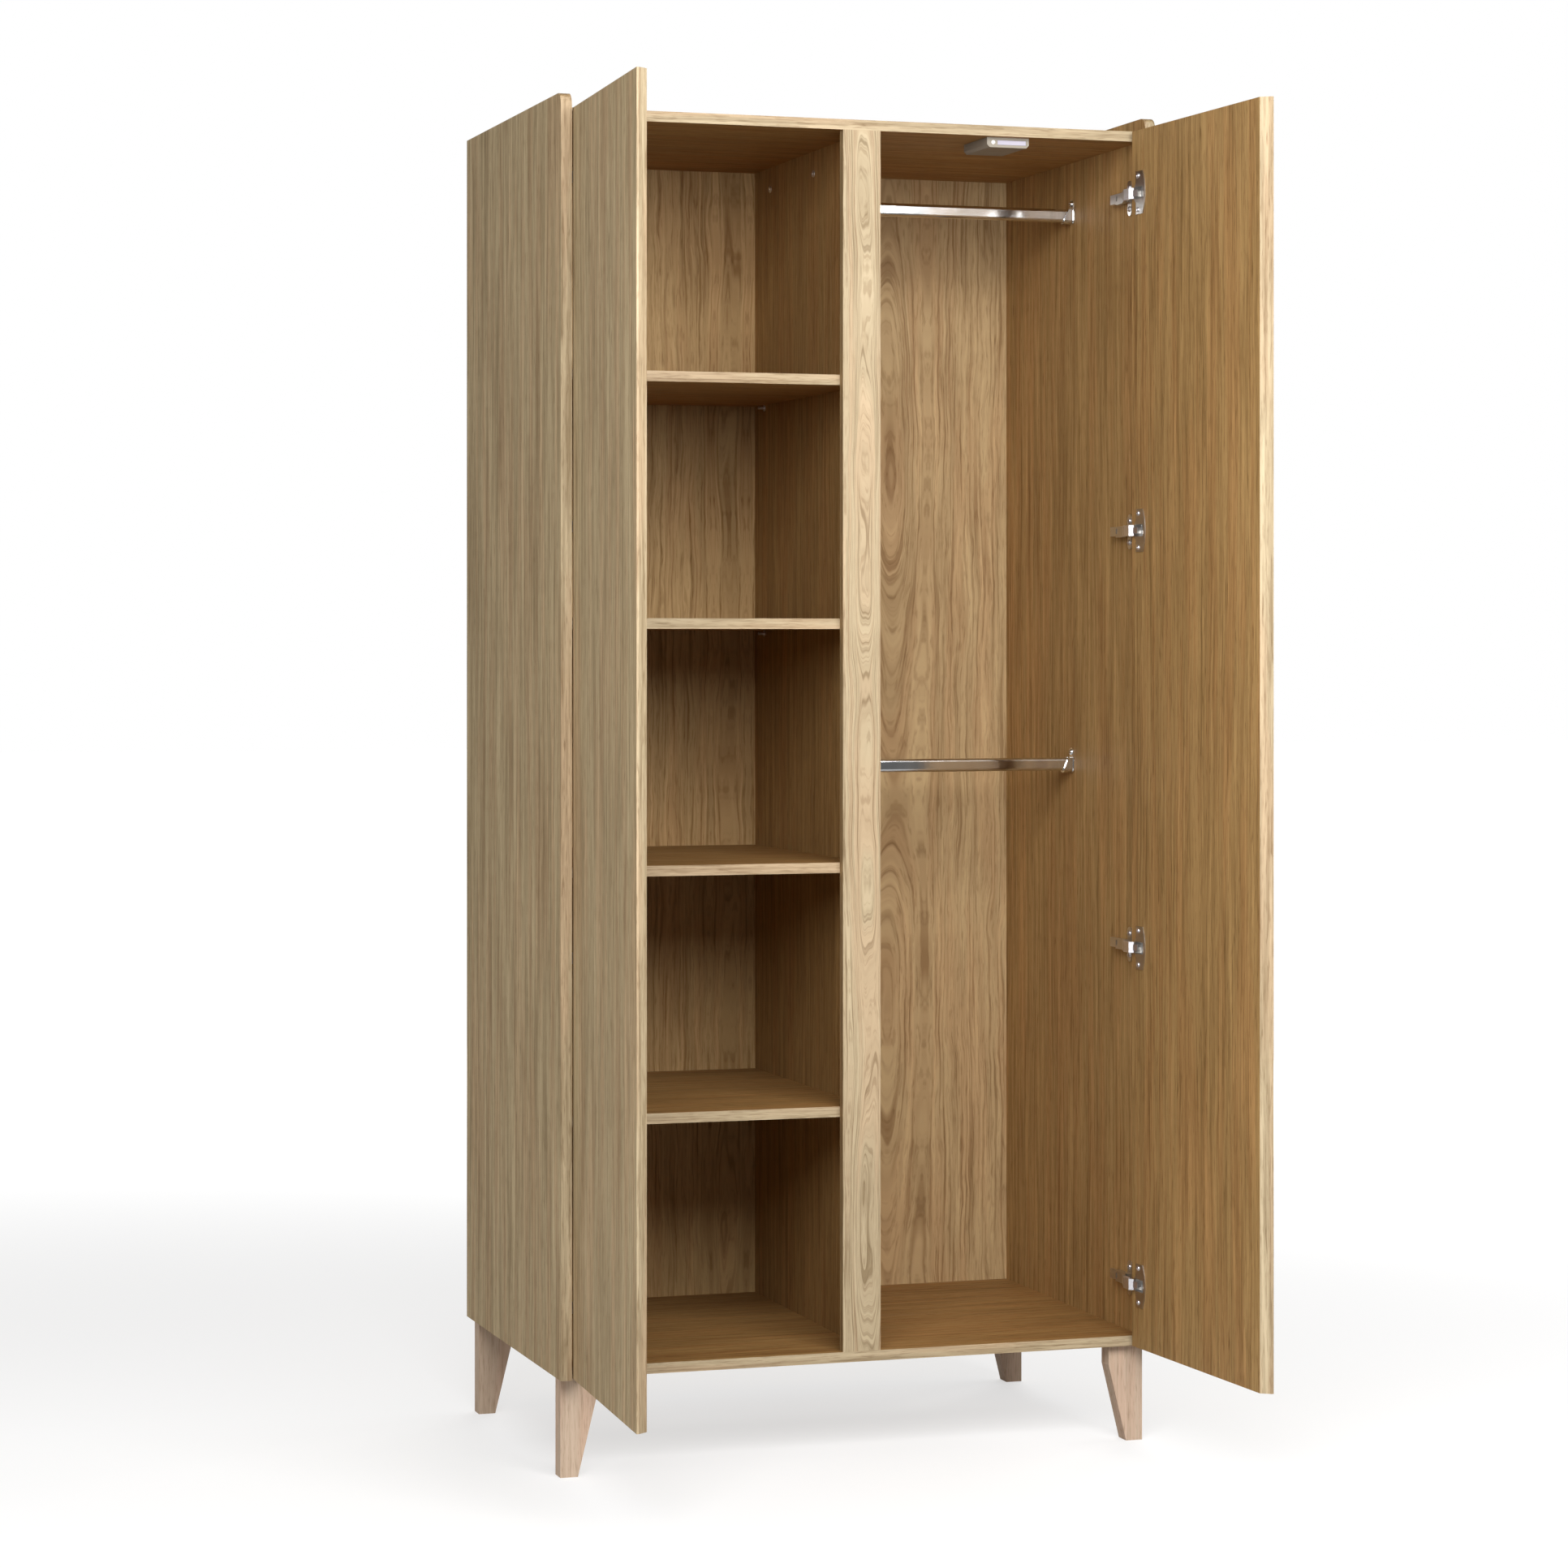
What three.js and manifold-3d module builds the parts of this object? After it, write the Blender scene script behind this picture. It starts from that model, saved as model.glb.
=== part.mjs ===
// A wardrobe with two hinged doors, standing open, in millimetres.
// X runs to the right, Y to the back and Z up, from the floor under the middle of the object.
import * as THREE from 'three';
import { mergeVertices } from 'three/addons/utils/BufferGeometryUtils.js';
import Module from 'manifold-3d';

const wasm = await Module();
wasm.setup();

// ---- Driving dimensions ----

// Carcass. Depths are counted from the front edges of the side panels, heights from the floor.
const WIDTH = 900;
const DEPTH = 590;
const BOARD = 16;
const THIN_BOARD = 15;
const LEG_HEIGHT = 142.5;
const SHELF_PITCH = 352;
const BAYS = 5;
const SIDE_RISE = 19;
const SIDE_CORNER = 18;
const PANEL_SETBACK = 17.5;
const STILE_LEFT = -28;
const STILE_WIDTH = 57;
const DIVIDER_LEFT = 12;
const SHELF_SETBACK = 33;
const BACK_FRONT = 586;
const BACK_THICKNESS = 3.5;
const BACK_SEAM = 0.5;

// Doors, inset between the side panels, with a bevel along the free edge to pull them by.
const DOOR_WIDTH = 424;
const DOOR_GAP = 2;
const DOOR_LAND = 3;
const DOOR_BEVEL = 10.5;
const DOOR_OPEN = THREE.MathUtils.degToRad(93);

// Legs
const LEG_INSET = 7.5;
const LEG_TOP_WIDTH = 53;
const LEG_FOOT_WIDTH = 25.5;
const LEG_SQUARE_PART = 30;
const LEG_THICKNESS = 28.5;
const FRONT_LEG_Y = 33;
const REAR_LEG_Y = 540;

// Hanging rods and their brackets
const ROD_Y = 295;
const ROD_HEIGHTS = { lower: 992.5, upper: 1835.5 };
const ROD_WIDTH = 12;
const ROD_TALL = 20;
const ROD_CORNER = 4.5;
const ROD_END_GAP = 3;
const CRADLE_WALL = 2.5;
const CRADLE_REACH = 16;
const CRADLE_TOP_REACH = 9;
const BRACKET_WIDTH = 22;
const BRACKET_PLATE = 2;
const BRACKET_TAB = 15;
const BRACKET_TAB_WIDTH = 14;

// Lamp under the top panel
const LAMP_WIDTH = 65;
const LAMP_DEPTH = 100;
const LAMP_TALL = 14.5;
const LAMP_CHAMFER = 4;
const LAMP_WALL = 2.5;
const LENS_WIDTH = 44;
const LENS_TALL = 6.5;
const LENS_OFFSET = 6;
const LAMP_BASE_TALL = 4;

// Hinges: u is the distance from the inner face of the side panel towards the middle.
const HINGE_FROM_DOOR_END = 92;
const HINGE_FROM_DOOR_END_INNER = 587;
const DOOR_PIVOT = { u: 5.35, y: 3 };
const LINK_PIN = { u: 22.5, y: 21 };
const LINK_FACE = 27.2;
const LINK_BACK = 17;
const LINK_BEND = -2;
const LINK_THICKNESS = 1.4;
const LINK_TALL = 16;
const LINK_END_RADIUS = 3.4;
const TONGUE_TALL = 9;
const PIN_RADIUS = 1.2;
const NOSE_RADIUS = 2.5;
const ARM_TALL = 16;
const ARM_FRONT = 56;
const ARM_STEP = 82;
const ARM_BACK = 105;
const ARM_LOW = 8.5;
const ARM_HIGH = 14;
const PLATE_Y = 57;
const PLATE_WIDTH = 15;
const PLATE_TALL = 52;
const PLATE_THICKNESS = 2;
const CUP_RADIUS = 17.5;
const CUP_DEPTH = 12;
const CUP_WALL = 1.2;
const CUP_FROM_EDGE = 27;
const FLANGE_THICKNESS = 1.2;
const FLANGE_TALL = 63;
const FLANGE_NEAR = 16;
const FLANGE_FAR = 46.5;
const FLANGE_BULGE = 8;
const MOUTH_WIDTH = 28.4;
const MOUTH_TALL = 17.6;
const CLEARANCE = 0.3;

// Sides of the polygons that stand for large and small circles
const ROUND = 24;
const SMALL_ROUND = 12;

// ---- Sizes that follow ----

const HALF = WIDTH / 2;
const INNER_HALF = HALF - BOARD;
const FLOOR_TOP = LEG_HEIGHT + THIN_BOARD;
const CEILING = FLOOR_TOP + BAYS * SHELF_PITCH;
const CARCASS_TOP = CEILING + THIN_BOARD;
const SIDE_HEIGHT = CARCASS_TOP + SIDE_RISE - LEG_HEIGHT;
const STILE_BACK = PANEL_SETBACK + THIN_BOARD;
const DIVIDER_RIGHT = DIVIDER_LEFT + BOARD;
const DIVIDER_MIDDLE = (DIVIDER_LEFT + DIVIDER_RIGHT) / 2;
const DOOR_BOTTOM = LEG_HEIGHT + DOOR_GAP;
const DOOR_TOP = CARCASS_TOP - DOOR_GAP;
const HINGE_HEIGHTS = [
  DOOR_BOTTOM + HINGE_FROM_DOOR_END,
  DOOR_BOTTOM + HINGE_FROM_DOOR_END_INNER,
  DOOR_TOP - HINGE_FROM_DOOR_END_INNER,
  DOOR_TOP - HINGE_FROM_DOOR_END,
];
const SIDES = [
  { name: 'left', sign: -1 },
  { name: 'right', sign: 1 },
];
// The open doors reach 417 forward of the side panels, so the middle of the whole depth is here.
const MIDDLE_Y = 86.5;

// ---- Materials ----

function finish(color, roughness, metalness) {
  return new THREE.MeshStandardMaterial({ color, roughness, metalness });
}

const oakFoil = finish(0xa88a62, 0.5, 0);
const backFoil = finish(0x9b8055, 0.55, 0);
const solidOak = finish(0xc8aa8c, 0.55, 0);
const chrome = finish(0xd8dade, 0.15, 1);
const nickel = finish(0xb9b9b6, 0.3, 1);
const lampMetal = finish(0xc4c4c2, 0.35, 0.8);
const lampPlastic = finish(0xf2f2ee, 0.4, 0);

// ---- Shape helpers ----

const X = new THREE.Vector3(1, 0, 0);
const Y = new THREE.Vector3(0, 1, 0);
const Z = new THREE.Vector3(0, 0, 1);
const FRONTWARD = new THREE.Vector3(0, -1, 0);

// The plane that an outline is drawn in, and the way it is pushed: up, to the right or forward.
const PLANES = {
  plan: new THREE.Matrix4().makeBasis(X, Y, Z),
  side: new THREE.Matrix4().makeBasis(Y, Z, X),
  front: new THREE.Matrix4().makeBasis(X, Z, FRONTWARD),
};

function prism(outline, length, plane) {
  const geometry = new THREE.ExtrudeGeometry(new THREE.Shape(outline), {
    depth: length,
    bevelEnabled: false,
  });
  return geometry.applyMatrix4(PLANES[plane]);
}

function at(x, y) {
  return new THREE.Vector2(x, y);
}

// Points along an arc, angles in degrees.
function arc(cx, cy, radius, from, to, steps) {
  const points = [];
  for (let i = 0; i <= steps; i += 1) {
    const angle = THREE.MathUtils.degToRad(from + ((to - from) * i) / steps);
    points.push(at(cx + radius * Math.cos(angle), cy + radius * Math.sin(angle)));
  }
  return points;
}

function disc(cx, cy, radius, steps) {
  return arc(cx, cy, radius, 0, 360 - 360 / steps, steps - 1);
}

function roundedRectangle(cx, cy, width, height, radius, steps) {
  const dx = width / 2 - radius;
  const dy = height / 2 - radius;
  return [
    ...arc(cx + dx, cy + dy, radius, 0, 90, steps),
    ...arc(cx - dx, cy + dy, radius, 90, 180, steps),
    ...arc(cx - dx, cy - dy, radius, 180, 270, steps),
    ...arc(cx + dx, cy - dy, radius, 270, 360, steps),
  ];
}

function box(x0, x1, y0, y1, z0, z1) {
  const geometry = new THREE.BoxGeometry(x1 - x0, y1 - y0, z1 - z0);
  return geometry.translate((x0 + x1) / 2, (y0 + y1) / 2, (z0 + z1) / 2);
}

function solid(geometry) {
  const bare = geometry.clone();
  bare.deleteAttribute('normal');
  bare.deleteAttribute('uv');
  const merged = mergeVertices(bare);
  return new wasm.Manifold(new wasm.Mesh({
    numProp: 3,
    vertProperties: new Float32Array(merged.attributes.position.array),
    triVerts: new Uint32Array(merged.index.array),
  }));
}

function geometryOf(manifold) {
  const { vertProperties, triVerts } = manifold.getMesh();
  const geometry = new THREE.BufferGeometry();
  geometry.setAttribute('position', new THREE.BufferAttribute(vertProperties, 3));
  geometry.setIndex(new THREE.BufferAttribute(triVerts, 1));
  geometry.computeVertexNormals();
  return geometry;
}

function join(...geometries) {
  const solids = geometries.map(solid);
  return geometryOf(solids.reduce((sum, next) => sum.add(next)));
}

function cut(geometry, ...tools) {
  return geometryOf(tools.reduce((rest, tool) => rest.subtract(solid(tool)), solid(geometry)));
}

// ---- The object ----

const wardrobe = new THREE.Group();
wardrobe.position.y = -MIDDLE_Y;

function place(parent, name, geometry, material) {
  const mesh = new THREE.Mesh(geometry, material);
  mesh.name = name;
  parent.add(mesh);
  return mesh;
}

// ---- Carcass panels ----

// A side panel's upper front corner is rounded, where it stands above the top panel.
function sidePanel(side) {
  const top = LEG_HEIGHT + SIDE_HEIGHT;
  const outline = [
    at(0, LEG_HEIGHT),
    at(DEPTH, LEG_HEIGHT),
    at(DEPTH, top),
    ...arc(SIDE_CORNER, top - SIDE_CORNER, SIDE_CORNER, 90, 180, 10),
  ];
  const left = side.sign < 0 ? -HALF : INNER_HALF;
  return prism(outline, BOARD, 'side').translate(left, 0, 0);
}

for (const side of SIDES) {
  place(wardrobe, `side_panel_${side.name}`, sidePanel(side), oakFoil);
}

function horizontalPanel(bottom) {
  return box(-INNER_HALF, INNER_HALF, PANEL_SETBACK, BACK_FRONT, bottom, bottom + THIN_BOARD);
}

place(wardrobe, 'top_panel', horizontalPanel(CEILING), oakFoil);
place(wardrobe, 'bottom_panel', horizontalPanel(LEG_HEIGHT), oakFoil);

place(
  wardrobe,
  'centre_stile',
  box(STILE_LEFT, STILE_LEFT + STILE_WIDTH, PANEL_SETBACK, STILE_BACK, FLOOR_TOP, CEILING),
  oakFoil,
);
place(
  wardrobe,
  'divider_panel',
  box(DIVIDER_LEFT, DIVIDER_RIGHT, STILE_BACK, BACK_FRONT, FLOOR_TOP, CEILING),
  oakFoil,
);

for (let i = 1; i < BAYS; i += 1) {
  const top = FLOOR_TOP + i * SHELF_PITCH;
  const shelf = box(-INNER_HALF, DIVIDER_LEFT, SHELF_SETBACK, BACK_FRONT, top - THIN_BOARD, top);
  place(wardrobe, `shelf_${i}`, shelf, oakFoil);
}

// The back is two thin boards, which meet behind the divider.
function backPanel(x0, x1) {
  return box(x0, x1, BACK_FRONT, BACK_FRONT + BACK_THICKNESS, LEG_HEIGHT, CARCASS_TOP);
}

const seam = BACK_SEAM / 2;
place(wardrobe, 'back_panel_left', backPanel(-INNER_HALF, DIVIDER_MIDDLE - seam), backFoil);
place(wardrobe, 'back_panel_right', backPanel(DIVIDER_MIDDLE + seam, INNER_HALF), backFoil);

// ---- Legs ----

// The outer side of a leg is upright and its inner side slants in below a square part.
function leg(side, front) {
  const outer = side.sign * (HALF - LEG_INSET);
  const inward = -side.sign;
  const outline = [
    at(outer, 0),
    at(outer + inward * LEG_FOOT_WIDTH, 0),
    at(outer + inward * LEG_TOP_WIDTH, LEG_HEIGHT - LEG_SQUARE_PART),
    at(outer + inward * LEG_TOP_WIDTH, LEG_HEIGHT),
    at(outer, LEG_HEIGHT),
  ];
  return prism(outline, LEG_THICKNESS, 'front').translate(0, front + LEG_THICKNESS, 0);
}

for (const side of SIDES) {
  place(wardrobe, `leg_front_${side.name}`, leg(side, FRONT_LEG_Y), solidOak);
  place(wardrobe, `leg_rear_${side.name}`, leg(side, REAR_LEG_Y), solidOak);
}

// ---- Hanging rods ----

function rod(height) {
  const outline = roundedRectangle(ROD_Y, height, ROD_WIDTH, ROD_TALL, ROD_CORNER, 4);
  const length = INNER_HALF - DIVIDER_RIGHT - 2 * ROD_END_GAP;
  return prism(outline, length, 'side').translate(DIVIDER_RIGHT + ROD_END_GAP, 0, 0);
}

// A bracket is a wall plate with a screw tab above, and a cradle that is open at the top.
// It is drawn on the divider, at x = 0, and turned round for the side panel.
function rodBracket(height) {
  const bottom = height - ROD_TALL / 2 - CLEARANCE - CRADLE_WALL;
  const top = height + ROD_TALL / 2;
  const tall = top - bottom;
  const middle = (top + bottom) / 2;
  const plate = roundedRectangle(ROD_Y, middle, BRACKET_WIDTH, tall, 5, 4);
  const tabMiddle = top + BRACKET_TAB / 2 - 2;
  const tab = roundedRectangle(ROD_Y, tabMiddle, BRACKET_TAB_WIDTH, BRACKET_TAB + 4, 5, 4);
  const halfInner = ROD_WIDTH / 2 + CLEARANCE;
  const halfOuter = halfInner + CRADLE_WALL;
  const corner = 6;
  const outer = [
    at(ROD_Y + halfOuter, top),
    at(ROD_Y - halfOuter, top),
    ...arc(ROD_Y - halfOuter + corner, bottom + corner, corner, 180, 270, 4),
    ...arc(ROD_Y + halfOuter - corner, bottom + corner, corner, 270, 360, 4),
  ];
  const slant = [
    at(CRADLE_REACH, bottom + corner),
    at(CRADLE_REACH + 1, bottom + corner),
    at(CRADLE_REACH + 1, top + 1),
    at(CRADLE_TOP_REACH, top + 1),
    at(CRADLE_TOP_REACH, top),
  ];
  const pocketBottom = bottom + CRADLE_WALL;
  const pocketMiddle = pocketBottom + ROD_TALL;
  const pocket = roundedRectangle(
    ROD_Y, pocketMiddle, 2 * halfInner, 2 * ROD_TALL, ROD_CORNER - CLEARANCE, 4,
  );
  const body = join(
    prism(plate, BRACKET_PLATE, 'side'),
    prism(tab, BRACKET_PLATE, 'side'),
    prism(outer, CRADLE_REACH, 'side'),
  );
  return cut(
    body,
    prism(pocket, 2 * CRADLE_REACH, 'side').translate(BRACKET_PLATE, 0, 0),
    prism(slant, BRACKET_WIDTH, 'front').translate(0, ROD_Y + BRACKET_WIDTH / 2, 0),
  );
}

function turnRound(geometry) {
  return geometry.translate(0, -ROD_Y, 0).rotateZ(Math.PI).translate(0, ROD_Y, 0);
}

for (const [name, height] of Object.entries(ROD_HEIGHTS)) {
  const left = rodBracket(height).translate(DIVIDER_RIGHT, 0, 0);
  const right = turnRound(rodBracket(height)).translate(INNER_HALF, 0, 0);
  place(wardrobe, `hanging_rod_${name}`, rod(height), chrome);
  place(wardrobe, `rod_bracket_${name}_left`, left, chrome);
  place(wardrobe, `rod_bracket_${name}_right`, right, chrome);
}

// ---- Lamp ----

const lampX = (DIVIDER_RIGHT + INNER_HALF) / 2;
const lampFront = SHELF_SETBACK;
const lampBack = lampFront + LAMP_DEPTH;
const lampBottom = CEILING - LAMP_TALL;
const lensMiddle = lampX + LENS_OFFSET;
const lensBottom = lampBottom + (LAMP_TALL - LENS_TALL) / 2;

function lensBox(grow, front, back) {
  const half = LENS_WIDTH / 2 + grow;
  const top = lensBottom + LENS_TALL + grow;
  return box(lensMiddle - half, lensMiddle + half, front, back, lensBottom - grow, top);
}

function lampHousing() {
  const half = LAMP_WIDTH / 2;
  const outline = [
    at(lampX - half, CEILING),
    at(lampX - half, lampBottom + LAMP_CHAMFER),
    at(lampX - half + LAMP_CHAMFER, lampBottom),
    at(lampX + half - LAMP_CHAMFER, lampBottom),
    at(lampX + half, lampBottom + LAMP_CHAMFER),
    at(lampX + half, CEILING),
  ];
  const inner = half - LAMP_CHAMFER;
  const hollow = box(
    lampX - inner, lampX + inner,
    lampFront + LAMP_WALL, lampBack - LAMP_WALL,
    lampBottom + LAMP_WALL, CEILING + 1,
  );
  return cut(
    prism(outline, LAMP_DEPTH, 'front').translate(0, lampBack, 0),
    hollow,
    lensBox(CLEARANCE, lampFront - 1, lampFront + LAMP_WALL + 1),
  );
}

function lampBase() {
  const half = LAMP_WIDTH / 2 - LAMP_CHAMFER - CLEARANCE;
  const edge = LAMP_WALL + CLEARANCE;
  return box(
    lampX - half, lampX + half,
    lampFront + edge, lampBack - edge,
    CEILING - LAMP_BASE_TALL, CEILING,
  );
}

place(wardrobe, 'lamp_base', lampBase(), lampPlastic);
place(wardrobe, 'lamp_housing', lampHousing(), lampMetal);
place(wardrobe, 'lamp_lens', lensBox(0, lampFront + CLEARANCE, lampFront + LAMP_WALL), lampPlastic);

// ---- Hinges: the pieces on the side panels ----

function fromWall(side, u) {
  return side.sign * (INNER_HALF - u);
}

function planOutline(side, points) {
  return points.map((point) => at(fromWall(side, point.x), point.y));
}

// The mounting plate is screwed flat to the wall and carries a raised block for the arm.
function hingePlate(side, height) {
  const wings = roundedRectangle(PLATE_Y, height, PLATE_WIDTH, PLATE_TALL, PLATE_WIDTH / 2 - 0.5, 5);
  const wall = side.sign < 0 ? -INNER_HALF : INNER_HALF - PLATE_THICKNESS;
  const blockTop = ARM_LOW - CLEARANCE;
  const block = planOutline(side, [
    at(1, PLATE_Y - 8),
    at(blockTop - 2, PLATE_Y - 8),
    at(blockTop, PLATE_Y - 4),
    at(blockTop, ARM_BACK - 12),
    at(blockTop - 2, ARM_BACK - 8),
    at(1, ARM_BACK - 8),
  ]);
  const foot = planOutline(side, [
    at(0, PLATE_Y - 8),
    at(1.5, PLATE_Y - 8),
    at(1.5, ARM_BACK - 8),
    at(0, ARM_BACK - 8),
  ]);
  const blockTall = ARM_TALL - 3;
  return join(
    prism(wings, PLATE_THICKNESS, 'side').translate(wall, 0, 0),
    prism(foot, blockTall, 'plan').translate(0, 0, height - blockTall / 2),
    prism(block, blockTall, 'plan').translate(0, 0, height - blockTall / 2),
  );
}

// The arm lies along the wall and cranks in to a nose, which the link's pin goes through.
function hingeArm(side, height) {
  const outline = planOutline(side, [
    at(ARM_LOW, ARM_BACK - 1.5),
    at(ARM_LOW, ARM_FRONT + 2),
    at(17, 35),
    at(LINK_PIN.u - NOSE_RADIUS, LINK_PIN.y + 3),
    ...arc(LINK_PIN.u, LINK_PIN.y, NOSE_RADIUS, 180, 360, 6),
    at(LINK_PIN.u + NOSE_RADIUS, LINK_PIN.y + 3),
    at(ARM_HIGH + 1.5, ARM_FRONT - 4),
    at(ARM_HIGH, ARM_FRONT),
    at(ARM_HIGH, ARM_BACK - 1.5),
    at(ARM_HIGH - 1.5, ARM_BACK),
    at(ARM_LOW + 1.5, ARM_BACK),
  ]);
  const body = prism(outline, ARM_TALL, 'plan').translate(0, 0, height - ARM_TALL / 2);
  const [low, high] = [fromWall(side, 6), fromWall(side, 35)].sort((a, b) => a - b);
  const noseHalf = LINK_TALL / 2 - LINK_THICKNESS - CLEARANCE;
  const noseBack = LINK_PIN.y + 9;
  const above = box(low, high, 0, noseBack, height + noseHalf, height + ARM_TALL);
  const below = box(low, high, 0, noseBack, height - ARM_TALL, height - noseHalf);
  const step = box(low, high, ARM_STEP, ARM_BACK + 1, height - ARM_TALL, height - ARM_TALL / 2 + 2);
  const [floor, face] = [fromWall(side, ARM_LOW + 1), fromWall(side, ARM_HIGH + 1)]
    .sort((a, b) => a - b);
  const slot = box(floor, face, ARM_STEP - 6, ARM_STEP - 1.5, height - 3, height + 5);
  const hole = disc(fromWall(side, LINK_PIN.u), LINK_PIN.y, PIN_RADIUS + CLEARANCE, SMALL_ROUND);
  const bore = prism(hole, 2 * ARM_TALL, 'plan').translate(0, 0, height - ARM_TALL);
  return cut(body, above, below, step, slot, bore);
}

// The link is a bent plate with two cheeks, which hold its pin above and below the arm's nose.
// Its narrow tongue reaches into the cup.
function hingeLink(side, height) {
  const pinX = fromWall(side, LINK_PIN.u);
  const inner = LINK_FACE - LINK_THICKNESS;
  const plate = planOutline(side, [
    at(LINK_FACE, LINK_BACK),
    at(LINK_FACE, LINK_BEND),
    at(21.2, -7.3),
    at(20.4, -6.3),
    at(inner, LINK_BEND + 0.5),
    at(inner, LINK_BACK),
  ]);
  const cheek = planOutline(side, [
    at(LINK_FACE, LINK_BACK),
    at(LINK_FACE, LINK_BEND),
    at(inner, LINK_BEND + 0.5),
    at(21, 9),
    ...arc(LINK_PIN.u, LINK_PIN.y, LINK_END_RADIUS, 200, 0, 8),
  ]);
  const tongue = planOutline(side, [
    at(22.2, -5.5),
    at(20.6, -18.5),
    at(19.4, -18.2),
    at(20.9, -5.9),
  ]);
  const pin = disc(pinX, LINK_PIN.y, PIN_RADIUS, SMALL_ROUND);
  const cheekTop = height + LINK_TALL / 2 - LINK_THICKNESS;
  return join(
    prism(plate, LINK_TALL, 'plan').translate(0, 0, height - LINK_TALL / 2),
    prism(tongue, TONGUE_TALL, 'plan').translate(0, 0, height - TONGUE_TALL / 2),
    prism(cheek, LINK_THICKNESS, 'plan').translate(0, 0, cheekTop),
    prism(cheek, LINK_THICKNESS, 'plan').translate(0, 0, height - LINK_TALL / 2),
    prism(pin, LINK_TALL - 1, 'plan').translate(0, 0, height - LINK_TALL / 2 + 0.5),
  );
}

// ---- Doors: drawn closed about the pivot, then turned open with their hinge cups ----

function doorOutline(side, u, y) {
  return at(-side.sign * (u - DOOR_PIVOT.u), y - DOOR_PIVOT.y);
}

const cupU = DOOR_GAP + CUP_FROM_EDGE;

function doorPanel(side) {
  const edge = DOOR_GAP;
  const free = DOOR_GAP + DOOR_WIDTH;
  const outline = [
    doorOutline(side, edge, 0),
    doorOutline(side, free, 0),
    doorOutline(side, free, DOOR_LAND),
    doorOutline(side, free - DOOR_BEVEL, BOARD),
    doorOutline(side, edge, BOARD),
  ];
  const board = prism(outline, DOOR_TOP - DOOR_BOTTOM, 'plan').translate(0, 0, DOOR_BOTTOM);
  const cup = doorOutline(side, cupU, BOARD + 1);
  const bores = HINGE_HEIGHTS.map((height) => {
    const hole = disc(cup.x, height, CUP_RADIUS + CLEARANCE, ROUND);
    return prism(hole, CUP_DEPTH + 1 + CLEARANCE, 'front').translate(0, cup.y, 0);
  });
  return cut(board, ...bores);
}

// A hinge cup is a round pot let into the door. Its flange lies on the door's face and covers the
// pot, but for a mouth that lets the link and the arm's nose in.
function hingeCup(side, height) {
  const centre = doorOutline(side, cupU, BOARD);
  const rim = centre.y + CLEARANCE + FLANGE_THICKNESS;
  const bottom = centre.y - CUP_DEPTH;
  const inner = CUP_RADIUS - CUP_WALL;
  const pot = new THREE.LatheGeometry([
    at(0, bottom),
    at(CUP_RADIUS - 1.5, bottom),
    at(CUP_RADIUS, bottom + 1.5),
    at(CUP_RADIUS, rim),
    at(inner, rim),
    at(inner, bottom + CUP_WALL + 1.5),
    at(inner - 1.5, bottom + CUP_WALL),
    at(0, bottom + CUP_WALL),
  ], ROUND).translate(centre.x, 0, height);
  const halfTall = FLANGE_TALL / 2;
  const arcRadius = (halfTall * halfTall + FLANGE_BULGE * FLANGE_BULGE) / (2 * FLANGE_BULGE);
  const spread = THREE.MathUtils.radToDeg(Math.asin(halfTall / arcRadius));
  const swell = [
    at(FLANGE_NEAR, -halfTall),
    ...arc(FLANGE_FAR - arcRadius, 0, arcRadius, -spread, spread, 10),
    at(FLANGE_NEAR, halfTall),
  ];
  const wing = swell.map((point) => {
    const mapped = doorOutline(side, DOOR_GAP + point.x, 0);
    return at(mapped.x, height + point.y);
  });
  const ring = disc(centre.x, height, CUP_RADIUS + 1, ROUND);
  const mouth = roundedRectangle(centre.x, height, MOUTH_WIDTH, MOUTH_TALL, 2, 3);
  const flange = cut(
    join(
      prism(wing, FLANGE_THICKNESS, 'front').translate(0, rim, 0),
      prism(ring, FLANGE_THICKNESS, 'front').translate(0, rim, 0),
    ),
    prism(mouth, 3 * FLANGE_THICKNESS, 'front').translate(0, rim + FLANGE_THICKNESS, 0),
  );
  return join(pot, flange);
}

for (const side of SIDES) {
  const door = new THREE.Group();
  door.position.set(fromWall(side, DOOR_PIVOT.u), DOOR_PIVOT.y, 0);
  door.rotation.z = side.sign * DOOR_OPEN;
  wardrobe.add(door);
  place(door, `door_${side.name}`, doorPanel(side), oakFoil);
  HINGE_HEIGHTS.forEach((height, i) => {
    const label = `${side.name}_${i + 1}`;
    place(wardrobe, `hinge_plate_${label}`, hingePlate(side, height), nickel);
    place(wardrobe, `hinge_arm_${label}`, hingeArm(side, height), nickel);
    place(wardrobe, `hinge_link_${label}`, hingeLink(side, height), nickel);
    place(door, `hinge_cup_${label}`, hingeCup(side, height), nickel);
  });
}

export default wardrobe;
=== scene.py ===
"""A two-door oak wardrobe, standing open: materials, small fittings, light and camera."""

import math

import bmesh
import bpy
from mathutils import Matrix, Vector


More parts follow.
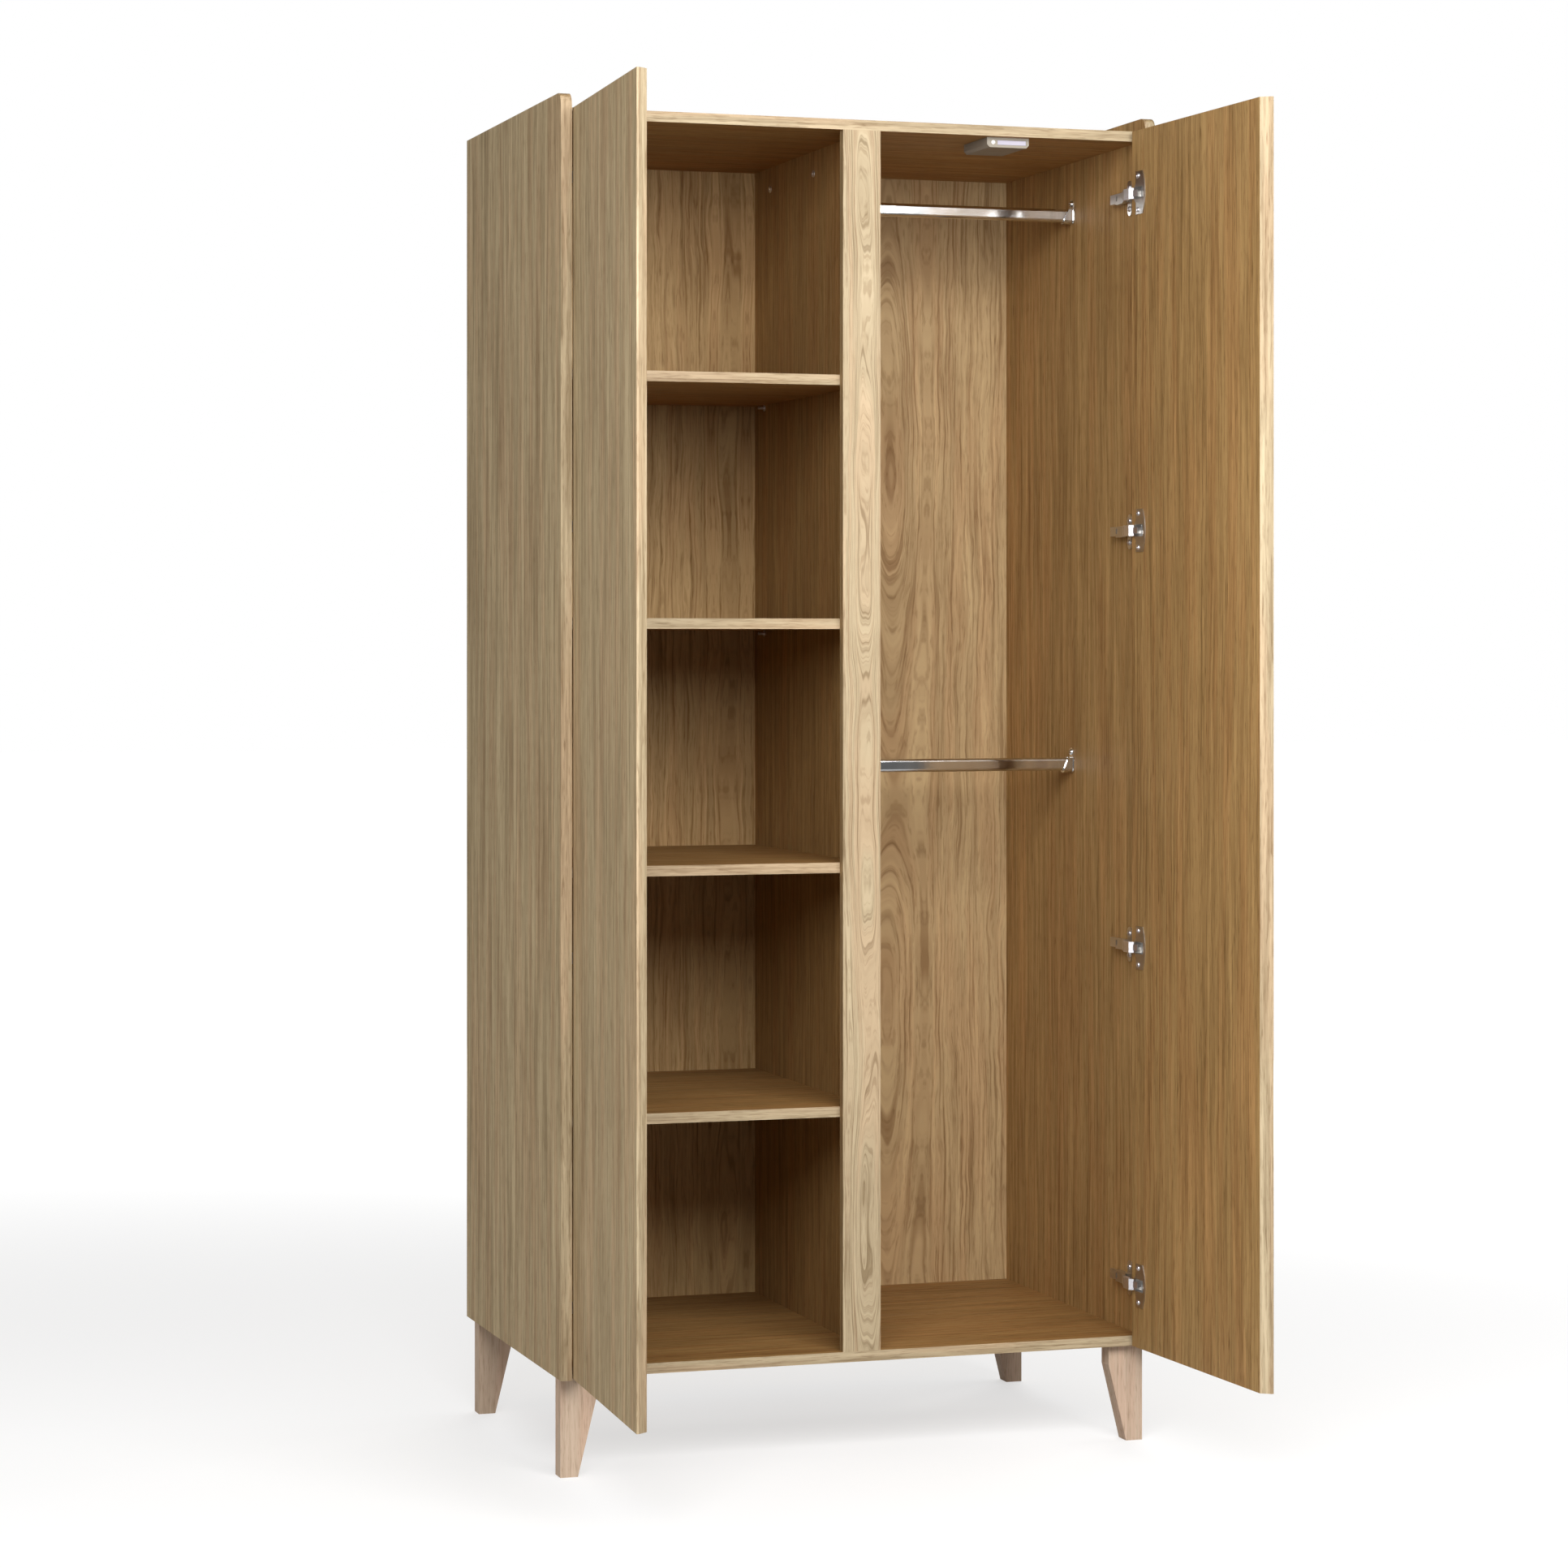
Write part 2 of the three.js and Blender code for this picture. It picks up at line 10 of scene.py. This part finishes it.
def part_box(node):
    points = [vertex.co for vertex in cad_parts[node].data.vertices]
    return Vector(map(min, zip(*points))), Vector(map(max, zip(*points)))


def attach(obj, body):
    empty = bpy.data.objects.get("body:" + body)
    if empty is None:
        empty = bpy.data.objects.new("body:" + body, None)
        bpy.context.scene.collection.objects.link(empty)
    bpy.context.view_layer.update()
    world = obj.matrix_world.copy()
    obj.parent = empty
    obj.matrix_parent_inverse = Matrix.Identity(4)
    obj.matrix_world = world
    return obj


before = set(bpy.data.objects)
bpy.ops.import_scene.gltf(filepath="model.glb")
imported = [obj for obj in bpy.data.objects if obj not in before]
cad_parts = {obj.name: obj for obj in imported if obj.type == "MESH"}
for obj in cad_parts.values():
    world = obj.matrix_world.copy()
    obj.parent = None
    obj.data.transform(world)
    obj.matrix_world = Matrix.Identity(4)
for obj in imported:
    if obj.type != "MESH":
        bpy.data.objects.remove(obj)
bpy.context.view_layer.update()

MM = 0.001
SIDES = (("left", -1), ("right", 1))
LEVELS = (1, 2, 3, 4)

# ---- Node material helpers ----


class Nodes:
    """Adds shader nodes to one material, and links what is passed in."""

    def __init__(self, name):
        self.material = bpy.data.materials.new(name)
        self.material.use_nodes = True
        self.tree = self.material.node_tree
        self.shader = self.tree.nodes["Principled BSDF"]

    def add(self, kind, inputs=None, **settings):
        node = self.tree.nodes.new(kind)
        for key, value in settings.items():
            setattr(node, key, value)
        for key, value in (inputs or {}).items():
            self.put(node.inputs[key], value)
        return node

    def put(self, socket, value):
        if isinstance(value, bpy.types.NodeSocket):
            self.tree.links.new(value, socket)
        else:
            socket.default_value = value

    def math(self, operation, a, b=0.0, c=0.0, clamp=False):
        node = self.add("ShaderNodeMath", {0: a, 1: b, 2: c}, operation=operation)
        node.use_clamp = clamp
        return node.outputs[0]

    def vector_math(self, operation, a, b=(0, 0, 0)):
        node = self.add("ShaderNodeVectorMath", {0: a, 1: b}, operation=operation)
        return node.outputs["Value" if operation in ("DOT_PRODUCT", "LENGTH") else "Vector"]

    def join(self, x, y, z):
        return self.add("ShaderNodeCombineXYZ", {0: x, 1: y, 2: z}).outputs[0]

    def noise(self, vector, scale, detail=2.0, roughness=0.5):
        node = self.add("ShaderNodeTexNoise", {
            "Vector": vector,
            "Scale": scale,
            "Detail": detail,
            "Roughness": roughness,
        })
        return node.outputs["Fac"]

    def spread(self, value, low, high, to_low=0.0, to_high=1.0):
        """Maps the range low to high onto to_low to to_high, with soft ends."""
        node = self.add("ShaderNodeMapRange", {
            "Value": value,
            "From Min": low,
            "From Max": high,
            "To Min": to_low,
            "To Max": to_high,
        })
        node.interpolation_type = "SMOOTHSTEP"
        return node.outputs["Result"]

    def mix(self, factor, a, b, blend="MIX"):
        node = self.add("ShaderNodeMix", data_type="RGBA", blend_type=blend)
        self.put(node.inputs[0], factor)
        self.put(node.inputs[6], a)
        self.put(node.inputs[7], b)
        return node.outputs[2]

    def bump(self, height, strength, distance):
        node = self.add("ShaderNodeBump", {
            "Height": height,
            "Strength": strength,
            "Distance": distance,
        })
        return node.outputs["Normal"]


def srgb(red, green, blue):
    """A colour given as 0 to 255 screen values, as linear RGBA."""
    def linear(value):
        value /= 255
        return value / 12.92 if value <= 0.04045 else ((value + 0.055) / 1.055) ** 2.4

    return (linear(red), linear(green), linear(blue), 1.0)


# ---- Wood ----

AXES = {"X": 0, "Y": 1, "Z": 2}
OAK_LIGHT = srgb(185, 160, 119)
OAK_DARK = srgb(135, 111, 76)
PORE_TINT = (0.5, 0.42, 0.34, 1)
RED_TINT = (1.05, 0.93, 0.9, 1)
OAK_ROUGHNESS = 0.5
OAK_SPECULAR = 0.2


def wood(name, grain="Z", across="X", light=OAK_LIGHT, dark=OAK_DARK, heart=1.0, arch=0.0,
         spread=0.1, pitch=2.0, wander=0.03, length=3.5, phase=0.0, figure=0.8, lines=0.3,
         warmth=0.6, face_light_and_shade=()):
    """Oak grain. grain is the axis that it runs along, and across the board's width.

    The growth bands follow the distance from a line that lies heart metres across the board.
    Within spread metres of that line they bend into arches, arch metres deep at the most, with about
    pitch turns in a metre. Elsewhere they run straight, with a little wander. length is how many
    streaks follow each other in a metre. figure and lines set how much the broad bands and the thin
    fibre lines show. tints are (direction, colour) pairs of painted light and shade, which lighten
    and darken the faces that look that way in place of how the light falls on them."""
    n = Nodes(name)
    place = n.add("ShaderNodeTexCoord")
    parts = n.add("ShaderNodeSeparateXYZ", {0: place.outputs["Object"]}).outputs
    third = next(axis for axis in AXES if axis not in (grain, across))
    along = n.math("ADD", parts[AXES[grain]], phase)
    width = n.math("SUBTRACT", parts[AXES[across]], heart)
    thick = parts[AXES[third]]

    def texture(u_scale, along_scale, detail, roughness=0.55, u=width):
        """Noise stretched along the grain. The scales are in features per metre."""
        stretched = n.join(
            n.math("MULTIPLY", u, u_scale),
            n.math("MULTIPLY", thick, u_scale),
            n.math("MULTIPLY", along, along_scale),
        )
        return n.noise(stretched, 1.0, detail, roughness)

    def centred(value):
        return n.math("SUBTRACT", value, 0.5)

    # The distance from the heart line, with a slow wander and a small ripple
    drift = n.math("MULTIPLY", centred(texture(5, 1.5, 3)), wander)
    ripple = n.math("MULTIPLY", centred(texture(34, 9, 2)), 0.25 * wander)
    reach = n.math("ADD", n.math("ADD", width, drift), ripple)
    if arch:
        reach = n.vector_math("LENGTH", n.join(reach, 0.25 * spread, 0.0))
        near = n.spread(reach, 0.25 * spread, 1.1 * spread, 1.0, 0.0)
        climb = n.math("MULTIPLY", texture(0.25 / spread, pitch, 1), arch)
        reach = n.math("MULTIPLY_ADD", near, climb, reach)

    # Bands, fibre lines, flecks and pores all follow that distance
    bands = texture(74, length, 4, 0.62, u=reach)
    fine = texture(190, 1.6 * length, 3, 0.6, u=reach)
    thin = n.spread(texture(270, 0.8 * length, 2, 0.5, u=reach), 0.5, 0.66)
    fleck = n.spread(texture(230, 24, 2, 0.5, u=reach), 0.6, 0.74)
    pore = n.spread(texture(560, 34, 2, 0.6, u=reach), 0.52, 0.68)
    broad = texture(9, 0.8, 2)
    warm = n.spread(texture(38, 0.6 * length, 2, u=reach), 0.44, 0.62)

    tone = n.math("MULTIPLY_ADD", centred(bands), 1.9 * figure, 0.5)
    tone = n.math("MULTIPLY_ADD", centred(fine), 1.5 * figure, tone)
    tone = n.math("MULTIPLY_ADD", centred(broad), 0.4, tone)
    tone = n.math("MULTIPLY_ADD", thin, lines, tone)
    tone = n.math("MULTIPLY_ADD", fleck, 0.5 * figure, tone)
    color = n.mix(n.math("ADD", tone, -0.25 * lines, clamp=True), light, dark)
    color = n.mix(n.math("MULTIPLY", warm, warmth), color, n.mix(1.0, color, RED_TINT, "MULTIPLY"))
    color = n.mix(n.math("MULTIPLY", pore, 0.4), color, n.mix(1.0, color, PORE_TINT, "MULTIPLY"))
    # Painted light and shade: faces that look one way get their colour scaled, standing in for how
    # the light falls on them.
    for direction, shading_colour in face_light_and_shade:
        facing = n.vector_math("DOT_PRODUCT", place.outputs["Normal"], direction)
        shaded_colour = n.mix(1.0, color, shading_colour, "MULTIPLY")
        color = n.mix(n.spread(facing, 0.6, 0.85), color, shaded_colour)
    n.put(n.shader.inputs["Base Color"], color)
    uneven = n.math("MULTIPLY_ADD", pore, 0.4, fine)
    n.put(n.shader.inputs["Roughness"], n.spread(uneven, 0.2, 1.1, OAK_ROUGHNESS,
                                                    OAK_ROUGHNESS + 0.2))
    height = n.math("MULTIPLY_ADD", pore, -1.0, n.math("MULTIPLY", fine, 0.5))
    n.put(n.shader.inputs["Normal"], n.bump(height, 0.3, 0.0004))
    n.shader.inputs["Specular IOR Level"].default_value = OAK_SPECULAR
    return n.material


# ---- Metal and plastic ----


def metal(name, color, roughness, brushed=0.0):
    """Plated metal: smudges in its gloss, and fine upright brush lines where it has them."""
    n = Nodes(name)
    place = n.add("ShaderNodeTexCoord").outputs["Object"]
    smudge = n.noise(place, 45.0, 3, 0.6)
    lines = n.noise(n.vector_math("MULTIPLY", place, (2500.0, 2500.0, 100.0)), 1.0, 2)
    shade = n.spread(smudge, 0.3, 0.7, 0.96, 1.03)
    n.put(n.shader.inputs["Base Color"], n.mix(1.0, color, n.join(shade, shade, shade), "MULTIPLY"))
    rough = n.math("MULTIPLY_ADD", n.math("SUBTRACT", smudge, 0.5), 0.06, roughness)
    n.put(n.shader.inputs["Roughness"], n.math("MULTIPLY_ADD", lines, 0.08 * brushed, rough))
    n.put(n.shader.inputs["Normal"], n.bump(lines, 0.05 * brushed + 0.005, 0.00003))
    n.shader.inputs["Metallic"].default_value = 1.0
    return n.material


def plastic(name, color, roughness, shine=0.5):
    """Moulded or painted plastic with a very fine texture. shine is its specular level."""
    n = Nodes(name)
    place = n.add("ShaderNodeTexCoord").outputs["Object"]
    grain = n.noise(place, 900.0, 2)
    cloud = n.noise(place, 30.0, 2)
    shade = n.spread(cloud, 0.3, 0.7, 0.95, 1.03)
    n.put(n.shader.inputs["Base Color"], n.mix(1.0, color, n.join(shade, shade, shade), "MULTIPLY"))
    n.put(n.shader.inputs["Roughness"], n.spread(grain, 0.2, 0.8, roughness - 0.05, roughness + 0.08))
    n.put(n.shader.inputs["Normal"], n.bump(grain, 0.08, 0.0001))
    n.shader.inputs["Specular IOR Level"].default_value = shine
    return n.material


# ---- Dressing the CAD nodes ----

LEFT = (-1.0, 0.0, 0.0)
RIGHT = (1.0, 0.0, 0.0)
FRONT = (0.0, -1.0, 0.0)


def dress(node, material, bevel=0.0):
    """Gives a CAD node its material, and rounds its sharp edges a little."""
    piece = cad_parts[node]
    piece.data.materials.clear()
    piece.data.materials.append(material)
    if bevel:
        rounding = piece.modifiers.new("edge rounding", "BEVEL")
        rounding.width = bevel
        rounding.segments = 2
        rounding.limit_method = "ANGLE"
        rounding.angle_limit = math.radians(35)
        rounding.harden_normals = False


PANEL_EDGE = 0.7 * MM

# Painted light and shade for the faces that look one way. Each tint stands in for how the light falls
# on them: outer faces and front edges are painted lighter and bluer; inner faces, tops and undersides
# are painted darker and warmer. They are matched to colours under one particular light, so under
# another light the faces of one board differ more than real foil would.
INNER_SHADE = (0.95, 0.82, 0.62, 1)
WALL_SHADING = (1.08, 0.95, 0.73, 1)
OUTER_LIGHT = (1.11, 1.19, 1.33, 1)
LEVEL_SHADE = (0.8, 0.63, 0.42, 1)
CEILING_SHADE = (1.0, 0.79, 0.51, 1)
EDGE_LIGHT = (1.13, 1.26, 1.56, 1)
UP = (0.0, 0.0, 1.0)
DOWN = (0.0, 0.0, -1.0)
# The left back panel's colours are darker and more saturated than the right's: painted shade for the
# deep shelf bays in front of it. The different heart lines and arches are the boards' own grain.
BACK_FIGURES_AND_SHADE = {
    "left": {"heart": -0.03, "arch": 0.09, "spread": 0.03,
             "light": srgb(196, 164, 115), "dark": srgb(136, 103, 60)},
    "right": {"heart": 0.2, "arch": 0.2, "spread": 0.1,
              "light": srgb(204, 176, 131), "dark": srgb(146, 116, 78)},
}

# Sides and doors: painted light on their outer faces and front edges, painted shade on their inner
# faces.
for name, sign in SIDES:
    inward = (-sign * 1.0, 0.0, 0.0)
    outward = (sign * 1.0, 0.0, 0.0)
    side_oak = wood(f"oak_side_{name}", across="Y", phase=3.1 * sign, figure=1.0,
                    face_light_and_shade=((inward, WALL_SHADING), (outward, OUTER_LIGHT), (FRONT, EDGE_LIGHT)))
    dress(f"side_panel_{name}", side_oak, PANEL_EDGE)
    door_oak = wood(f"oak_door_{name}", across="Y", phase=2.2 * sign, figure=0.95,
                    face_light_and_shade=((inward, INNER_SHADE), (outward, OUTER_LIGHT), (FRONT, EDGE_LIGHT)))
    dress(f"door_{name}", door_oak)
    back_oak = wood(f"oak_back_{name}", pitch=1.7, wander=0.05, length=4.0, warmth=0.4,
                    phase=1.35 * sign, figure=0.6, lines=0.45, **BACK_FIGURES_AND_SHADE[name])
    dress(f"back_panel_{name}", back_oak)
    for end in ("front", "rear"):
        leg_oak = wood(f"oak_leg_{end}_{name}", phase=2.0 * sign + len(end), figure=0.5,
                       light=srgb(214, 192, 170), dark=srgb(180, 156, 133))
        dress(f"leg_{end}_{name}", leg_oak, 0.001)

# Panels and shelves: painted shade on their tops and undersides, painted light on their front edges.
level_light_and_shade = ((UP, LEVEL_SHADE), (DOWN, CEILING_SHADE), (FRONT, EDGE_LIGHT))
panel_oak = wood("oak_panels", grain="X", across="Y", phase=4.4, face_light_and_shade=level_light_and_shade)
for node in ("top_panel", "bottom_panel"):
    dress(node, panel_oak, PANEL_EDGE)
for level in LEVELS:
    shelf_oak = wood(f"oak_shelf_{level}", grain="X", across="Y", phase=2.9 * level,
                     face_light_and_shade=level_light_and_shade)
    dress(f"shelf_{level}", shelf_oak, PANEL_EDGE)
# The stile's front gets painted light.
stile_oak = wood("oak_stile", heart=0.007, arch=0.2, spread=0.03, pitch=3.0, wander=0.03,
                 length=4.0, phase=0.3, figure=0.5, lines=0.7, warmth=0.5,
                 face_light_and_shade=((FRONT, EDGE_LIGHT),))
dress("centre_stile", stile_oak, PANEL_EDGE)
# Both faces of the divider get painted shade.
divider_oak = wood("oak_divider", across="Y", phase=6.6, face_light_and_shade=((LEFT, INNER_SHADE), (RIGHT, INNER_SHADE)))
dress("divider_panel", divider_oak, PANEL_EDGE)

chrome = metal("polished_chrome", (0.78, 0.79, 0.80, 1), 0.1)
nickel = metal("nickel_plate", (0.66, 0.645, 0.62, 1), 0.3, brushed=0.5)
bright_nickel = metal("bright_nickel_plate", (0.86, 0.86, 0.9, 1), 0.36, brushed=0.3)
for height in ("lower", "upper"):
    dress(f"hanging_rod_{height}", chrome)
    for name, sign in SIDES:
        dress(f"rod_bracket_{height}_{name}", chrome, 0.0004)
for name, sign in SIDES:
    for level in LEVELS:
        for part in ("plate", "arm", "cup"):
            dress(f"hinge_{part}_{name}_{level}", nickel, 0.0003)
        dress(f"hinge_link_{name}_{level}", bright_nickel, 0.0003)

silver = plastic("silver_painted_housing", (0.3, 0.27, 0.22, 1), 0.5, shine=0.25)
white = plastic("white_plastic", (0.85, 0.85, 0.82, 1), 0.4)
diffuser = plastic("lavender_diffuser", (0.46, 0.44, 0.52, 1), 0.55, shine=0.15)
dress("lamp_base", white)
dress("lamp_housing", silver, 0.0005)
dress("lamp_lens", diffuser, 0.0003)

# ---- Small fittings ----

# The open doors' angle and pivots, and where a door's hinged edge and inner face lie from its pivot
DOOR_OPEN = math.radians(93)
DOOR_PIVOT_X = 428.65 * MM
DOOR_PIVOT_Y = -83.5 * MM
HINGED_EDGE = 3.85 * MM
INNER_FACE = 13 * MM

# Where the screws sit: on the hinge plates' wings, the cup flanges and the rod brackets
WING_FACE = 432 * MM
WING_Y = -29.5 * MM
WING_SCREWS = {"lower": -16 * MM, "upper": 16 * MM}
FLANGE_ACROSS = 24 * MM
FLANGE_FACE = 1.5 * MM
FLANGE_SCREWS = {"lower": -25 * MM, "upper": 25 * MM}
BRACKET_PLATE = 2 * MM
BRACKET_SCREW_DROP = 6.5 * MM

PIN_DEPTHS = {"front": -3.5 * MM, "rear": 448.5 * MM}
PIN_RADIUS = 5 * MM
COVER_DEPTHS = {"front": 195.5 * MM, "rear": 417 * MM}
COVER_HEIGHT = 1884 * MM
WINDOW_INSET = 9.5 * MM


def turned(name, profile):
    """A mesh turned about z. The profile is (radius, height) pairs, up from the middle below."""
    mesh = bpy.data.meshes.new(name)
    built = bmesh.new()
    steps = 24
    rings = []
    for radius, height in profile:
        if radius:
            angles = [2 * math.pi * i / steps for i in range(steps)]
            spots = [(radius * math.cos(a), radius * math.sin(a), height) for a in angles]
        else:
            spots = [(0, 0, height)]
        rings.append([built.verts.new(spot) for spot in spots])
    for low, high in zip(rings, rings[1:]):
        for i in range(steps):
            j = (i + 1) % steps
            corners = [low[i % len(low)], low[j % len(low)], high[j % len(high)], high[i % len(high)]]
            built.faces.new(dict.fromkeys(corners))
    bmesh.ops.recalc_face_normals(built, faces=built.faces)
    built.to_mesh(mesh)
    built.free()
    return mesh


def recessed(mesh, arm, width, depth, top):
    """Cuts a cross-shaped driver recess into the top of a screw head."""
    for turn in (0, 1):
        bar = bmesh.new()
        bmesh.ops.create_cube(bar, size=1.0)
        size = (2 * arm, width, 2 * depth) if turn else (width, 2 * arm, 2 * depth)
        bmesh.ops.scale(bar, vec=size, verts=bar.verts)
        bmesh.ops.translate(bar, vec=(0, 0, top), verts=bar.verts)
        tool_mesh = bpy.data.meshes.new("recess_tool")
        bar.to_mesh(tool_mesh)
        bar.free()
        tool = bpy.data.objects.new("recess_tool", tool_mesh)
        blank = bpy.data.objects.new("screw_blank", mesh)
        for part in (tool, blank):
            bpy.context.scene.collection.objects.link(part)
        modifier = blank.modifiers.new("recess", "BOOLEAN")
        modifier.operation = "DIFFERENCE"
        modifier.object = tool
        depsgraph = bpy.context.evaluated_depsgraph_get()
        mesh = bpy.data.meshes.new_from_object(blank.evaluated_get(depsgraph))
        for part in (tool, blank):
            bpy.data.objects.remove(part)
    return mesh


def fix(name, mesh, place, facing, body, material):
    """Sets a small turned piece at a place, with its z axis turned to face a direction."""
    piece = bpy.data.objects.new(name, mesh)
    turn = Vector(facing).to_track_quat("Z", "Y").to_matrix().to_4x4()
    piece.matrix_world = Matrix.Translation(place) @ turn
    bpy.context.scene.collection.objects.link(piece)
    if not mesh.materials:
        mesh.materials.append(material)
    for face in mesh.polygons:
        face.use_smooth = True
    mesh.set_sharp_from_angle(angle=math.radians(32))
    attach(piece, body)


def pan_head(name, radius, tall):
    """A screw head with a rounded rim and a cross recess."""
    profile = [
        (0, 0),
        (radius, 0),
        (radius, 0.35 * tall),
        (0.93 * radius, 0.65 * tall),
        (0.72 * radius, 0.9 * tall),
        (0.4 * radius, tall),
        (0, tall),
    ]
    return recessed(turned(name, profile), 0.5 * radius, 0.22 * radius, 0.55 * tall, tall)


def door_point(sign, across, up, out):
    """A place on an open door: across from its hinged edge, up, and out from its inner face."""
    pivot = Vector((sign * DOOR_PIVOT_X, DOOR_PIVOT_Y, 0))
    closed = Vector((-sign * (across - HINGED_EDGE), INNER_FACE + out, 0))
    turned_open = Matrix.Rotation(sign * DOOR_OPEN, 3, "Z") @ closed
    return pivot + turned_open + Vector((0, 0, up))


def door_facing(sign):
    return Matrix.Rotation(sign * DOOR_OPEN, 3, "Z") @ Vector((0, 1, 0))


screw = pan_head("plate_screw", 4.2 * MM, 2.4 * MM)
flange_screw = pan_head("flange_screw", 3.8 * MM, 1.6 * MM)
bracket_screw = pan_head("bracket_screw", 4.4 * MM, 3.2 * MM)

for name, sign in SIDES:
    inward = (-sign, 0, 0)
    for level in LEVELS:
        low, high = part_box(f"hinge_plate_{name}_{level}")
        middle = (low.z + high.z) / 2
        for end, up in WING_SCREWS.items():
            fix(f"plate_screw_{name}_{level}_{end}", screw,
                (sign * WING_FACE, WING_Y, middle + up), inward,
                "carcass", bright_nickel)
        for end, up in FLANGE_SCREWS.items():
            fix(f"flange_screw_{name}_{level}_{end}", flange_screw,
                door_point(sign, FLANGE_ACROSS, middle + up, FLANGE_FACE), door_facing(sign),
                f"door_{name}", bright_nickel)

for height in ("lower", "upper"):
    for name, sign in SIDES:
        low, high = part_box(f"rod_bracket_{height}_{name}")
        wall_x = high.x - BRACKET_PLATE if sign > 0 else low.x + BRACKET_PLATE
        fix(f"bracket_screw_{height}_{name}", bracket_screw,
            (wall_x, (low.y + high.y) / 2, high.z - BRACKET_SCREW_DROP), (-sign, 0, 0),
            "carcass", chrome)

pin = turned("shelf_pin", [
    (0, 0), (PIN_RADIUS, 0), (PIN_RADIUS, 1.2 * MM), (2.6 * MM, 1.2 * MM), (2.6 * MM, 10 * MM),
    (2.1 * MM, 10.5 * MM), (0, 10.5 * MM),
])
for level in LEVELS:
    low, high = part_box(f"shelf_{level}")
    for end, depth in PIN_DEPTHS.items():
        for name, wall_x, facing in (("left", low.x, (1, 0, 0)), ("right", high.x, (-1, 0, 0))):
            fix(f"shelf_pin_{level}_{end}_{name}", pin, (wall_x, depth, low.z - PIN_RADIUS), facing,
                "carcass", bright_nickel)

cover = turned("cam_cover", [
    (0, 0), (5.5 * MM, 0), (5.5 * MM, 0.8 * MM), (5.0 * MM, 1.5 * MM), (3.8 * MM, 2.0 * MM),
    (2.4 * MM, 2.0 * MM), (1.9 * MM, 1.2 * MM), (0, 1.2 * MM),
])
divider_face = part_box("divider_panel")[0].x
for end, depth in COVER_DEPTHS.items():
    fix(f"cam_cover_{end}", cover, (divider_face, depth, COVER_HEIGHT), (-1, 0, 0),
        "carcass", bright_nickel)

# The lamp's sensor window is a shallow white dome beside its lens.
window = turned("sensor_window", [
    (0, -1 * MM), (3.1 * MM, -1 * MM), (3.1 * MM, 0.5 * MM), (2.6 * MM, 1.1 * MM),
    (1.5 * MM, 1.6 * MM), (0, 1.8 * MM),
])
lamp_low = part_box("lamp_housing")[0]
lens_low, lens_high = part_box("lamp_lens")
fix("lamp_sensor_window", window,
    (lamp_low.x + WINDOW_INSET, lamp_low.y, (lens_low.z + lens_high.z) / 2), FRONT,
    "carcass", white)

# ---- Floor, light and camera ----

ROOM_LIGHT = 0.2


def build_floor():
    """A wide pale floor, which the camera sees fade to white with distance."""
    mesh = bpy.data.meshes.new("studio_floor")
    size = 40.0
    corners = [(-size, -size, 0), (size, -size, 0), (size, size, 0), (-size, size, 0)]
    mesh.from_pydata(corners, [], [(0, 1, 2, 3)])
    floor = bpy.data.objects.new("studio_floor", mesh)
    bpy.context.scene.collection.objects.link(floor)
    n = Nodes("floor_paint")
    n.shader.inputs["Base Color"].default_value = (0.42, 0.42, 0.42, 1)
    n.shader.inputs["Roughness"].default_value = 0.9
    n.shader.inputs["Specular IOR Level"].default_value = 0.1
    n.shader.inputs["Emission Color"].default_value = (1, 1, 1, 1)
    place = n.add("ShaderNodeTexCoord").outputs["Object"]
    lift = n.spread(n.vector_math("LENGTH", place), 1.5, 6.0, 0.58, 1.0)
    seen = n.add("ShaderNodeLightPath").outputs["Is Camera Ray"]
    n.put(n.shader.inputs["Emission Strength"], n.math("MULTIPLY", lift, seen))
    mesh.materials.append(n.material)


def add_area(name, place, target, size, watts):
    lamp = bpy.data.lights.new(name, "AREA")
    lamp.shape = "RECTANGLE"
    lamp.size, lamp.size_y = size
    lamp.energy = watts
    rig = bpy.data.objects.new(name, lamp)
    rig.location = place
    aim = Vector(target) - Vector(place)
    rig.rotation_euler = aim.to_track_quat("-Z", "Y").to_euler()
    bpy.context.scene.collection.objects.link(rig)


def build_light():
    """An even pale room, which the camera sees as white, and four wide soft lights."""
    scene = bpy.context.scene
    scene.view_settings.view_transform = "Standard"
    world = bpy.data.worlds.new("studio_world")
    scene.world = world
    world.use_nodes = True
    tree = world.node_tree
    room = tree.nodes["Background"]
    room.inputs[0].default_value = (1, 1, 1, 1)
    room.inputs[1].default_value = ROOM_LIGHT
    backdrop = tree.nodes.new("ShaderNodeBackground")
    backdrop.inputs[0].default_value = (1, 1, 1, 1)
    seen = tree.nodes.new("ShaderNodeLightPath")
    either = tree.nodes.new("ShaderNodeMixShader")
    tree.links.new(seen.outputs["Is Camera Ray"], either.inputs[0])
    tree.links.new(room.outputs[0], either.inputs[1])
    tree.links.new(backdrop.outputs[0], either.inputs[2])
    tree.links.new(either.outputs[0], tree.nodes["World Output"].inputs[0])
    for name, place, size, watts in (
        ("front_key", (-0.4, -2.7, 2.2), (3.2, 1.5), 146),
        ("left_fill", (-5.0, -2.0, 1.0), (4.0, 2.4), 102),
        ("right_fill", (5.0, 1.2, 1.6), (4.0, 3.0), 100),
        ("rear_fill", (2.6, 5.0, 1.8), (4.0, 3.0), 150),
    ):
        add_area(name, place, (0, 0, 1.15), size, watts)


def build_camera():
    """The camera stands in front and to the left, a little above the lower rod."""
    data = bpy.data.cameras.new("camera")
    data.sensor_width = 36
    data.lens = 94.02
    data.shift_x = -0.0589
    data.shift_y = -0.0878
    data.clip_end = 200
    camera = bpy.data.objects.new("camera", data)
    camera.location = (-1.8593, -5.6722, 1.1735)
    camera.rotation_euler = (math.radians(90), 0, math.radians(-18.565))
    bpy.context.scene.collection.objects.link(camera)
    bpy.context.scene.camera = camera


build_floor()
build_light()
build_camera()
